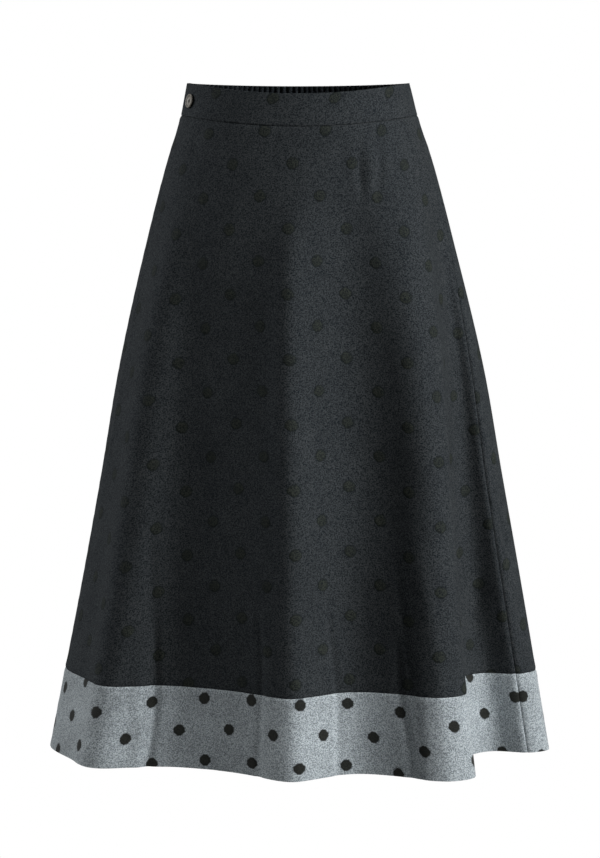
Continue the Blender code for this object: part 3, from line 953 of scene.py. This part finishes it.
def thread_material(name, dark, light):
    """Sewing thread, lighter and darker along its fibres."""
    material, tree, shader = new_material(name)
    place = tree.nodes.new("ShaderNodeTexCoord")
    fibre = noise(tree, place.outputs["Object"], THREAD_FIBRES, 3.0, 0.6)
    tree.links.new(mixed(tree, smoothed(tree, fibre, 0.35, 0.65), dark, light), shader.inputs["Base Color"])
    tree.links.new(maths(tree, "MULTIPLY_ADD", fibre, 0.2, 0.7), shader.inputs["Roughness"])
    shader.inputs["Specular IOR Level"].default_value = 0.25
    add_relief(tree, shader, fibre, 0.4, 0.0001)
    return material


def add_button(place):
    """A dished disc with a raised rim and four holes."""
    bm = bmesh.new()
    chain = [bm.verts.new((out * BUTTON_RADIUS, 0.0, up * BUTTON_THICK)) for out, up in BUTTON_PROFILE]
    edges = [bm.edges.new(pair) for pair in zip(chain[:-1], chain[1:])]
    bmesh.ops.spin(
        bm, geom=chain + edges, cent=(0, 0, 0), axis=(0, 0, 1), angle=2 * math.pi,
        steps=BUTTON_STEPS, use_merge=True)
    bmesh.ops.remove_doubles(bm, verts=bm.verts, dist=0.00001)
    button = finish_piece("button_disc", bm, horn_material())
    cut_button_holes(button)
    mesh = button.data
    layer = mesh.uv_layers.new(name="face")
    for loop in mesh.loops:
        at = mesh.vertices[loop.vertex_index].co
        layer.data[loop.index].uv = (at.x, at.y)
    mesh.set_sharp_from_angle(angle=math.radians(45))
    mesh.transform(place)
    return button


def cut_button_holes(button):
    """Four round holes for the thread, right through the disc."""
    holes = bmesh.new()
    for i in range(4):
        angle = math.radians(45 + 90 * i)
        at = Vector((math.cos(angle), math.sin(angle), 0.0)) * BUTTON_HOLE_SPREAD
        bmesh.ops.create_cone(
            holes, cap_ends=True, segments=24, radius1=BUTTON_HOLE_RADIUS, radius2=BUTTON_HOLE_RADIUS,
            depth=BUTTON_THICK * 3, matrix=Matrix.Translation(at))
    cutter = finish_piece("button_holes", holes, button.data.materials[0])
    cut = button.modifiers.new("Holes", "BOOLEAN")
    cut.operation = "DIFFERENCE"
    cut.solver = "EXACT"
    cut.object = cutter
    bpy.context.view_layer.update()
    mesh = bpy.data.meshes.new_from_object(button.evaluated_get(bpy.context.evaluated_depsgraph_get()))
    button.modifiers.clear()
    button.data = mesh
    bpy.data.objects.remove(cutter)


def add_button_thread(place, material):
    """Two crossed pairs of stitches over the button, down through its holes, and the shank under it."""
    bm = bmesh.new()
    for turn in (45, 135):
        for shift in (-STITCH_RADIUS, STITCH_RADIUS):
            start = bmesh.ops.create_circle(bm, cap_ends=False, segments=8, radius=STITCH_RADIUS)["verts"]
            bmesh.ops.translate(bm, verts=start, vec=(BUTTON_HOLE_SPREAD, 0, 0))
            edges = list({edge for vert in start for edge in vert.link_edges})
            bmesh.ops.spin(
                bm, geom=start + edges, cent=(0, 0, 0), axis=(0, -1, 0), angle=math.pi, steps=14)
            stitch = [vert for vert in bm.verts if not vert.tag]
            for vert in stitch:
                vert.tag = True
            bmesh.ops.scale(bm, verts=stitch, vec=(1, 1, STITCH_FLATNESS))
            bmesh.ops.translate(bm, verts=stitch, vec=(0, shift, BUTTON_THICK * STITCH_RISE))
            around = Matrix.Rotation(math.radians(turn), 3, "Z")
            bmesh.ops.rotate(bm, verts=stitch, cent=(0, 0, 0), matrix=around)
    bmesh.ops.holes_fill(bm, edges=[edge for edge in bm.edges if edge.is_boundary], sides=0)
    bmesh.ops.create_cone(
        bm, cap_ends=True, segments=16, radius1=SHANK_FOOT, radius2=SHANK_TOP, depth=SEAM_GAP * 1.2,
        matrix=Matrix.Translation((0, 0, -SEAM_GAP * 0.5)))
    thread = finish_piece("button_thread", bm, material)
    thread.data.transform(place)
    return thread


def along_buttonhole(run):
    """Where a run along the buttonhole's edge leads, and which way the edge is turned there."""
    half, radius = BUTTONHOLE_HALF, BUTTONHOLE_WIDTH
    straight, bend = 2 * half, math.pi * radius
    if run < straight:
        return (-half + run, -radius), 0.0
    run -= straight
    if run < bend:
        turn = run / radius
        return (half + radius * math.sin(turn), -radius * math.cos(turn)), turn
    run -= bend
    if run < straight:
        return (half - run, radius), math.pi
    turn = (run - straight) / radius
    return (-half - radius * math.sin(turn), radius * math.cos(turn)), turn + math.pi


def add_buttonhole(place, material):
    """Satin stitches round the slit that the button has come through."""
    bm = bmesh.new()
    around = 4 * BUTTONHOLE_HALF + 2 * math.pi * BUTTONHOLE_WIDTH
    for i in range(BUTTONHOLE_STITCHES):
        at, turn = along_buttonhole(around * i / BUTTONHOLE_STITCHES)
        stitch = bmesh.ops.create_icosphere(bm, subdivisions=1, radius=1.0)["verts"]
        length = BUTTONHOLE_STITCH * (1.0 + BUTTONHOLE_UNEVEN * math.sin(i * 2.4))
        bmesh.ops.scale(bm, verts=stitch, vec=(STITCH_RADIUS, length, STITCH_RADIUS))
        bmesh.ops.rotate(bm, verts=stitch, cent=(0, 0, 0), matrix=Matrix.Rotation(turn, 3, "Z"))
        bmesh.ops.translate(bm, verts=stitch, vec=(*at, BUTTONHOLE_RISE - SEAM_GAP))
    thread = finish_piece("buttonhole_stitches", bm, material)
    thread.data.transform(place @ Matrix.Translation((BUTTONHOLE_SHIFT, 0, 0)))
    return thread


BUTTON_PLACE = button_frame()
THREAD_DARK = (0.008, 0.008, 0.009)
THREAD_LIGHT = (0.030, 0.031, 0.034)
dark_thread = thread_material("dark_thread", THREAD_DARK, THREAD_LIGHT)
button = add_button(BUTTON_PLACE)
button_thread = add_button_thread(BUTTON_PLACE, dark_thread)
buttonhole = add_buttonhole(BUTTON_PLACE, dark_thread)

for piece, node, slot in (
    (front_panel, "front_panel", "dark_denim"),
    (back_panel, "back_panel", "dark_denim"),
    (hem_front, "hem_band_front", "denim_reverse"),
    (hem_back, "hem_band_back", "denim_reverse"),
    (band_front, "waistband_front", "dark_denim"),
    (band_back, "waistband_back", "dark_denim"),
    (button, "button", "button"),
):
    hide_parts(node)
    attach(piece, "root")
for piece in (button_thread, buttonhole):
    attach(piece, "root")


FLOOR_HEIGHT = -1.04
FLOOR_HALF = 9.0
FLOOR_SHADE = (0.12, 0.12, 0.12, 1.0)
WHITE = (1.0, 1.0, 1.0, 1.0)
ROOM_STRENGTH = 0.175
# name, bearing from the front towards the wearer's left, height above level, strength, softness in degrees
LIGHTS = (
    ("key", 63.0, 22.0, 4.05, 30.0),
    ("fill", -98.0, 16.0, 1.6, 40.0),
)
# The camera: its place, how far it looks down and aside in degrees, and its focal length,
# counted in pixels of a picture so many pixels high
EYE = (0.0, -3.4, -0.05)
EYE_DOWN = 5.878
EYE_ASIDE = -0.04
FOCAL_PIXELS = 2934.0
PICTURE_PIXELS = 858.0
FILM_HEIGHT = 36.0


def shown_white(tree, lit, white, surface):
    """Join what the light falls on to what is seen straight on, which is plain white."""
    path = tree.nodes.new("ShaderNodeLightPath")
    blend = tree.nodes.new("ShaderNodeMixShader")
    tree.links.new(path.outputs["Is Camera Ray"], blend.inputs["Fac"])
    tree.links.new(lit.outputs[0], blend.inputs[1])
    tree.links.new(white.outputs[0], blend.inputs[2])
    tree.links.new(blend.outputs[0], surface)


def add_floor():
    """A plain pale floor well below the hem."""
    bm = bmesh.new()
    bmesh.ops.create_grid(
        bm, x_segments=1, y_segments=1, size=FLOOR_HALF, matrix=Matrix.Translation((0, 0, FLOOR_HEIGHT)))
    material, tree, shader = new_material("pale_floor")
    shader.inputs["Base Color"].default_value = FLOOR_SHADE
    shader.inputs["Roughness"].default_value = 1.0
    shader.inputs["Specular IOR Level"].default_value = 0.0
    glow = tree.nodes.new("ShaderNodeEmission")
    glow.inputs["Color"].default_value = WHITE
    shown_white(tree, shader, glow, tree.nodes["Material Output"].inputs["Surface"])
    finish_piece("floor", bm, material, False)


def add_room(scene):
    """White surroundings that give the skirt a soft light from all round."""
    world = bpy.data.worlds.new("white_room")
    scene.world = world
    world.use_nodes = True
    tree = world.node_tree
    room = tree.nodes["Background"]
    room.inputs["Color"].default_value = WHITE
    room.inputs["Strength"].default_value = ROOM_STRENGTH
    seen = tree.nodes.new("ShaderNodeBackground")
    seen.inputs["Color"].default_value = WHITE
    shown_white(tree, room, seen, tree.nodes["World Output"].inputs["Surface"])


def add_lights(scene):
    for name, bearing, rise, strength, soft in LIGHTS:
        lamp = bpy.data.lights.new(name, "SUN")
        lamp.energy = strength
        lamp.angle = math.radians(soft)
        light = bpy.data.objects.new(name, lamp)
        light.rotation_euler = (math.radians(90.0 - rise), 0.0, math.radians(bearing))
        scene.collection.objects.link(light)


def add_camera(scene):
    eye = bpy.data.cameras.new("camera")
    eye.sensor_fit = "VERTICAL"
    eye.sensor_height = FILM_HEIGHT
    eye.lens = FOCAL_PIXELS / PICTURE_PIXELS * FILM_HEIGHT
    camera = bpy.data.objects.new("camera", eye)
    camera.location = EYE
    camera.rotation_euler = (math.radians(90.0 - EYE_DOWN), 0.0, math.radians(EYE_ASIDE))
    scene.collection.objects.link(camera)
    scene.camera = camera


scene = bpy.context.scene
scene.view_settings.view_transform = "Standard"
scene.view_settings.look = "None"
add_floor()
add_room(scene)
add_lights(scene)
add_camera(scene)
